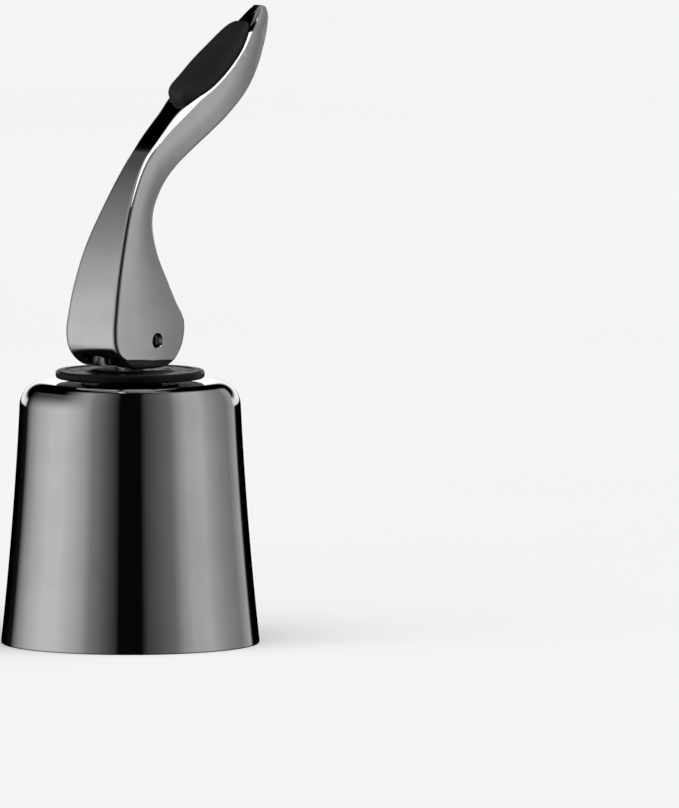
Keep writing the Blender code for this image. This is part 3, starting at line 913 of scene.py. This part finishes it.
def make_floor():
    """A wide pale floor that shiny pieces don't reflect."""
    bm = bmesh.new()
    bmesh.ops.create_circle(bm, cap_ends=True, segments=96, radius=30)
    floor = make_mesh("floor", bm)
    material = bpy.data.materials.new("pale_floor")
    material.use_nodes = True
    tree = material.node_tree
    shader = tree.nodes["Principled BSDF"]
    shader.inputs["Roughness"].default_value = 0.8
    shader.inputs["Specular IOR Level"].default_value = 0.1
    drift = ranged(tree, noise_over(tree, 3), 0.3, 0.7)
    colour = mixed_colour(tree, drift, (0.90, 0.90, 0.90), (0.92, 0.92, 0.92))
    tree.links.new(colour, shader.inputs["Base Color"])
    floor.data.materials.append(material)
    floor.visible_glossy = False


def ranged_angle(tree, angle, start, end, low=0.0, high=1.0):
    """The angle's smooth step from low at start to high at end, which are in degrees."""
    return ranged(tree, angle, math.radians(start), math.radians(end), low, high)


# How bright the studio is round the object, by the angle from the camera's side in degrees:
# a large panel on the left, a dark gap at the camera, and two weaker panels on the right
LEVEL_BANDS = [
    (-150, 0.005),
    (-135, 0.01),
    (-124, 0.42),
    (-108, 0.77),
    (-88, 1.00),
    (-72, 1.00),
    (-56, 0.78),
    (-46, 0.60),
    (-38, 0.35),
    (-22, 0.15),
    (-14, 0.065),
    (-10, 0.004),
    (11, 0.004),
    (17, 0.09),
    (34, 0.20),
    (43, 0.26),
    (51, 0.50),
    (61, 0.70),
    (79, 0.76),
    (90, 0.58),
    (104, 0.42),
    (120, 0.33),
    (131, 0.50),
    (138, 0.62),
    (143, 0.005),
]


def banded_light(tree, direction):
    """Panels that stand to the left and right, each bent over the object towards the back.

    The angle round the object and the height are those of the direction half way between
    this one and the camera's side, so that the panels keep their width up to their tops.
    """
    camera_side = (0, -math.cos(VIEW_ELEVATION), math.sin(VIEW_ELEVATION))
    inputs = {0: direction, 1: camera_side}
    between = add_node(tree, "ShaderNodeVectorMath", inputs, operation="ADD").outputs[0]
    unit = add_node(tree, "ShaderNodeVectorMath", {0: between}, operation="NORMALIZE")
    right, away, up = add_node(tree, "ShaderNodeSeparateXYZ", {0: unit.outputs[0]}).outputs
    angle = maths(tree, "ARCTAN2", right, maths(tree, "MULTIPLY", away, -1.0))
    height = maths(tree, "ARCSINE", up)
    inputs = {"Value": angle, "From Min": -math.pi / 2, "From Max": math.pi / 2}
    place = add_node(tree, "ShaderNodeMapRange", inputs)
    bands = add_node(tree, "ShaderNodeValToRGB", {0: place.outputs[0]})
    ramp = bands.color_ramp
    while len(ramp.elements) < len(LEVEL_BANDS):
        ramp.elements.new(0.5)
    for element, (degrees, grey) in zip(ramp.elements, LEVEL_BANDS):
        element.position = degrees / 360 + 0.5
        element.color = (grey, grey, grey, 1)
    # The panels are tall, but for the left one, which fades upwards and ends lower.
    tall = ranged_angle(tree, height, 54, 60, 1.0, 0.0)
    fading = ranged_angle(tree, height, 3, 40, 1.0, 0.13)
    ended = ranged_angle(tree, height, 44.5, 46, 1.0, 0.0)
    short = maths(tree, "MULTIPLY", fading, ended)
    inner = ranged_angle(tree, angle, -41, -16)
    top = add_node(tree, "ShaderNodeMix", {0: inner, 2: short, 3: tall}).outputs[0]
    # They are dimmer under the horizon, and end before they meet behind the object.
    under = ranged_angle(tree, height, -36, -12, 0.3, 1.0)
    length = add_node(tree, "ShaderNodeVectorMath", {0: between}, operation="LENGTH")
    clear = ranged(tree, length.outputs["Value"], 0.45, 0.68)
    reach = maths(tree, "MULTIPLY", clear, maths(tree, "MULTIPLY", top, under))
    return maths(tree, "MULTIPLY", bands.outputs[0], reach)


def make_world():
    """Soft grey panels and dark gaps round the object, in front of a white backdrop.

    The camera itself sees plain white.
    """
    world = bpy.data.worlds.new("studio")
    bpy.context.scene.world = world
    world.use_nodes = True
    tree = world.node_tree
    tree.nodes.clear()
    place = add_node(tree, "ShaderNodeTexCoord").outputs["Generated"]
    inputs = {"Vector": place, "Angle": -VIEW_AZIMUTH}
    turned_back = add_node(tree, "ShaderNodeVectorRotate", inputs, rotation_type="Z_AXIS")
    direction = turned_back.outputs[0]
    parts = add_node(tree, "ShaderNodeSeparateXYZ", {0: direction})
    height = maths(tree, "ARCSINE", parts.outputs[2])
    behind = ranged(tree, parts.outputs[1], 0.72, 0.80)
    above_horizon = ranged_angle(tree, height, -1.5, 1.0)
    below_top = ranged_angle(tree, height, 7, 14, 1.25, 0.0)
    backdrop = maths(tree, "MULTIPLY", behind, maths(tree, "MULTIPLY", above_horizon, below_top))
    total = maths(tree, "ADD", banded_light(tree, direction), backdrop)
    studio = add_node(tree, "ShaderNodeBackground", {"Color": total})
    white = add_node(tree, "ShaderNodeBackground", {"Color": (1, 1, 1, 1)})
    seen = add_node(tree, "ShaderNodeLightPath").outputs["Is Camera Ray"]
    inputs = {0: seen, 1: studio.outputs[0], 2: white.outputs[0]}
    mix = add_node(tree, "ShaderNodeMixShader", inputs)
    add_node(tree, "ShaderNodeOutputWorld", {"Surface": mix.outputs[0]})


def direction_from(azimuth, elevation):
    """The unit vector from the object towards a view's side; azimuth 0 is from -Y."""
    level = math.cos(elevation)
    return Vector((math.sin(azimuth) * level, -math.cos(azimuth) * level, math.sin(elevation)))


def make_ridge_light(lever):
    """A round panel above the camera that only the lever catches, on its bright chamfers."""
    away = direction_from(VIEW_AZIMUTH + math.radians(4), math.radians(73))
    data = bpy.data.lights.new("ridge_panel", "AREA")
    data.shape = "DISK"
    data.size = 0.84
    data.energy = 4.2
    light = bpy.data.objects.new("ridge_panel", data)
    light.location = lever.location + away + Vector((0, 0, PIN_HEIGHT))
    light.rotation_mode = "QUATERNION"
    light.rotation_quaternion = away.to_track_quat("Z", "Y")
    catcher = bpy.data.collections.new("ridge_panel_catcher")
    catcher.objects.link(lever)
    light.light_linking.receiver_collection = catcher
    bpy.context.scene.collection.objects.link(light)


def make_light():
    """A broad light from above for the floor and the dull black parts."""
    data = bpy.data.lights.new("broad_light", "SUN")
    data.energy = 2.55
    data.angle = math.radians(75)
    light = bpy.data.objects.new("broad_light", data)
    light.rotation_euler = (math.radians(18), math.radians(-14), 0)
    light.visible_glossy = False
    bpy.context.scene.collection.objects.link(light)


def make_camera():
    """A long lens from the photograph's side, moved across so that the lens needs no shift."""
    back = direction_from(VIEW_AZIMUTH, VIEW_ELEVATION)
    right = Vector((math.cos(VIEW_AZIMUTH), math.sin(VIEW_AZIMUTH), 0))
    up = back.cross(right)
    data = bpy.data.cameras.new("camera")
    data.sensor_width = SENSOR
    data.lens = SENSOR * VIEW_DISTANCE / VIEW_HEIGHT
    data.clip_start = 0.1
    data.clip_end = 100
    camera = bpy.data.objects.new("camera", data)
    camera.location = right * VIEW_RIGHT + up * VIEW_UP + back * VIEW_DISTANCE
    camera.rotation_mode = "QUATERNION"
    camera.rotation_quaternion = (-back).to_track_quat("-Z", "Y")
    bpy.context.scene.collection.objects.link(camera)
    bpy.context.scene.camera = camera


def make_object():
    """Every piece, on the body that it rides on."""
    finishes = make_finishes()
    chrome, steel = "gunmetal_chrome", "bright_steel"
    nylon, soft, silicone = "black_nylon", "soft_rubber", "black_silicone"
    add_piece(make_bell(), "cap", "bell_cap", chrome, finishes)
    add_piece(make_cam_plate(), "cap", "cam_plate", nylon, finishes)
    add_piece(make_hub(), "cap", "top_hub", nylon, finishes)
    add_piece(make_gasket(), "cap", "lip_gasket", silicone, finishes)
    add_piece(make_o_ring(), "cap", "stem_o_ring", silicone, finishes)
    add_piece(make_spacer(), "spacer", "seal_spacer", nylon, finishes)
    add_piece(make_cup(), "stem", "compression_cup", steel, finishes)
    add_piece(make_flat_washer(), "stem", "flat_washer", steel, finishes)
    add_piece(make_spring_washer(), "stem", "spring_washer", steel, finishes)
    add_piece(make_nut(), "stem", "end_nut", steel, finishes)
    add_piece(make_eye_bolt(), "stem", "eye_bolt", steel, finishes)
    lever = add_piece(make_lever(), "lever", "lever", chrome, finishes)
    add_piece(make_thumb_pad(), "lever", "thumb_pad", soft, finishes)
    add_piece(make_pin(), "lever", "pivot_pin", steel, finishes)
    make_squashing_seals(silicone, finishes)
    make_ridge_light(lever)


def make_squashing_seals(slot, finishes):
    """The seals, each built and set on the body that carries it."""
    for name, node, body, joint, fixed in (
        ("lower_sleeve", "lower_seal", "stem", "stem_lift", 0),
        ("upper_sleeve", "upper_seal", "cap", "spacer_lift", 1),
    ):
        seal = make_seal(name, node)
        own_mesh(seal)
        add_piece(seal, body, node, slot, finishes)


make_object()
make_floor()
make_world()
make_light()
make_camera()
bpy.context.scene.view_settings.view_transform = "Standard"
